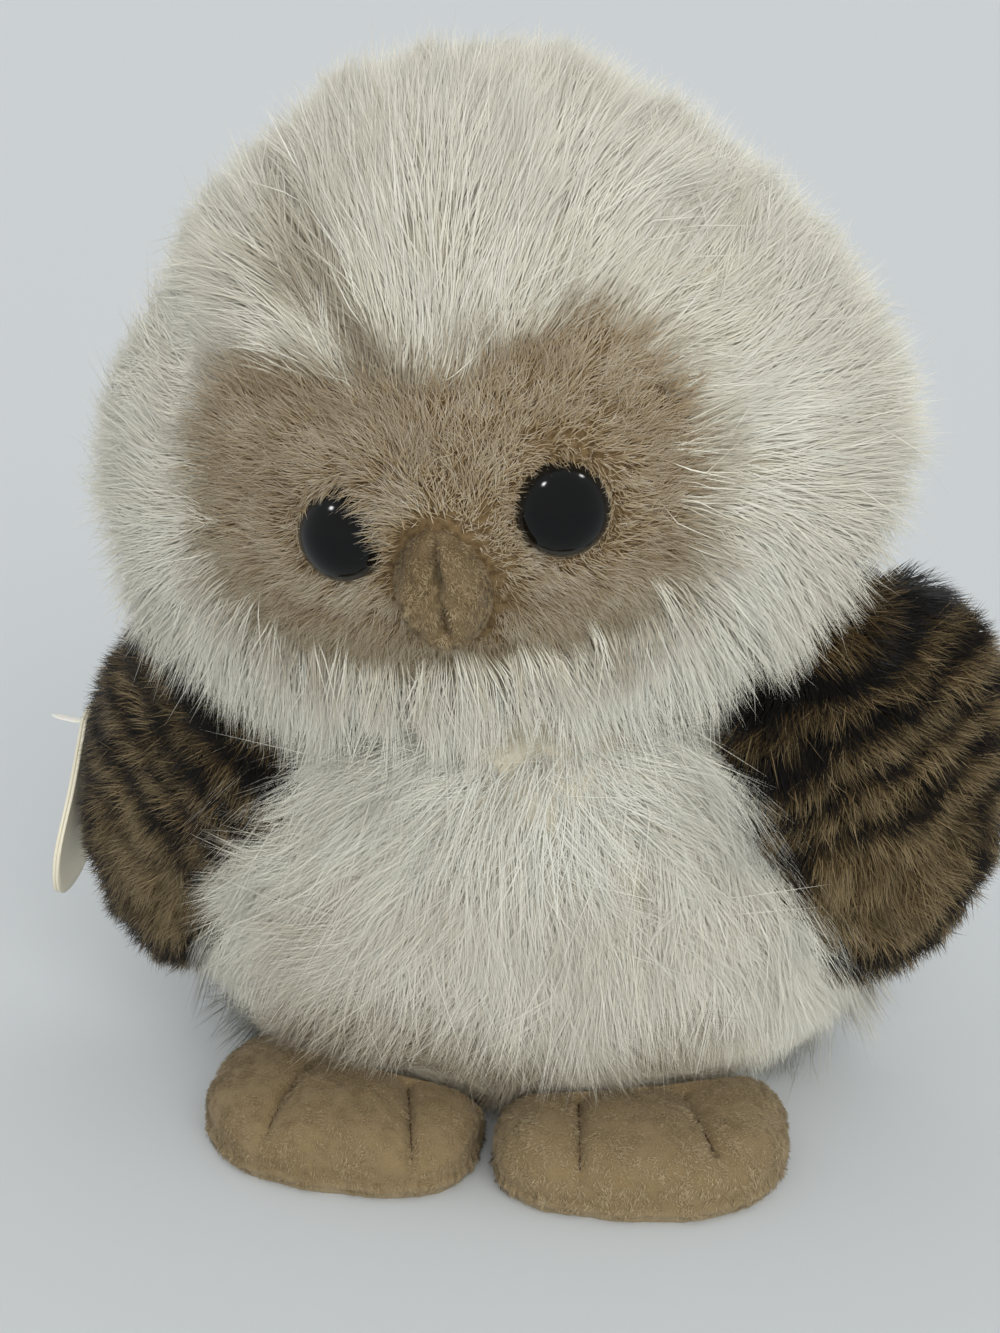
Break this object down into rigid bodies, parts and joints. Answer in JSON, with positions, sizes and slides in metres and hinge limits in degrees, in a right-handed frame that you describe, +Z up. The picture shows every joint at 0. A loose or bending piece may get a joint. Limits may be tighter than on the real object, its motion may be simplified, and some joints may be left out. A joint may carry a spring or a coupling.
{
  "type": "plush owl",
  "caption": "Sitting plush owl with a big tilted head, padded wings that lift, flat velour feet, safety eyes and a hang tag.",
  "frame": {"origin": "on the floor under the middle of the neck, in the plane of the flat base", "axes": "+Z up, the owl looks along -Y, +X is the owl's left"},
  "size_m": [0.2228, 0.1408, 0.229],
  "materials": {
    "long_pile_cream": "matte",
    "short_pile_tan": "matte",
    "striped_pile": "matte",
    "velour": "matte",
    "fibre_filling": "matte",
    "thread": "matte",
    "eye_plastic": "gloss",
    "washer_plastic": "matte",
    "fastener_plastic": "satin",
    "tag_card": "satin"
  },
  "bodies": {
    "torso": {"belly_panel": "long_pile_cream", "back_panel": "long_pile_cream", "base_panel": "long_pile_cream", "body_filling": "fibre_filling"},
    "head": {"head_crown_panel": "long_pile_cream", "head_side_panel_left": "long_pile_cream", "head_side_panel_right": "long_pile_cream", "face_panel": "short_pile_tan", "beak": "velour", "eye_left": "eye_plastic", "eye_right": "eye_plastic", "eye_washer_left": "washer_plastic", "eye_washer_right": "washer_plastic", "head_filling": "fibre_filling"},
    "wing_left": {"wing_left_face": "striped_pile", "wing_left_lining": "striped_pile", "wing_left_filling": "fibre_filling"},
    "wing_right": {"wing_right_face": "striped_pile", "wing_right_lining": "striped_pile", "wing_right_filling": "fibre_filling", "tag_fastener": "fastener_plastic"},
    "tag": {"hang_tag": "tag_card"},
    "foot_left": {"foot_left_upper": "velour", "foot_left_sole": "velour", "foot_left_filling": "fibre_filling", "toe_stitch_left_inner": "thread", "toe_stitch_left_outer": "thread"},
    "foot_right": {"foot_right_upper": "velour", "foot_right_sole": "velour", "foot_right_filling": "fibre_filling", "toe_stitch_right_inner": "thread", "toe_stitch_right_outer": "thread"}
  },
  "joints": [
    {"name": "neck_turn", "type": "hinge", "parent": "torso", "child": "head", "pos_m": [0, 0.003, 0.104], "axis": [0, 0, 1], "range_deg": [-15, 15], "stiffness_Nm_per_rad": 0.05},
    {"name": "wing_left_lift", "type": "hinge", "parent": "torso", "child": "wing_left", "pos_m": [0.056, 0, 0.111], "axis": [0, -1, 0], "range_deg": [0, 30]},
    {"name": "wing_right_lift", "type": "hinge", "parent": "torso", "child": "wing_right", "pos_m": [-0.056, 0, 0.097], "axis": [0, 1, 0], "range_deg": [0, 30]},
    {"name": "tag_swing", "type": "hinge", "parent": "wing_right", "child": "tag", "pos_m": [-0.10266, 0.01582, 0.07337], "axis": [0.9848, 0, -0.1736], "range_deg": [-20, 20]},
    {"name": "foot_left_lift", "type": "hinge", "parent": "torso", "child": "foot_left", "pos_m": [0.03198, -0.021, 0.009], "axis": [-0.9307, -0.3657, 0], "range_deg": [0, 15]},
    {"name": "foot_right_lift", "type": "hinge", "parent": "torso", "child": "foot_right", "pos_m": [-0.03198, -0.021, 0.009], "axis": [-0.9307, 0.3657, 0], "range_deg": [0, 15]}
  ]
}
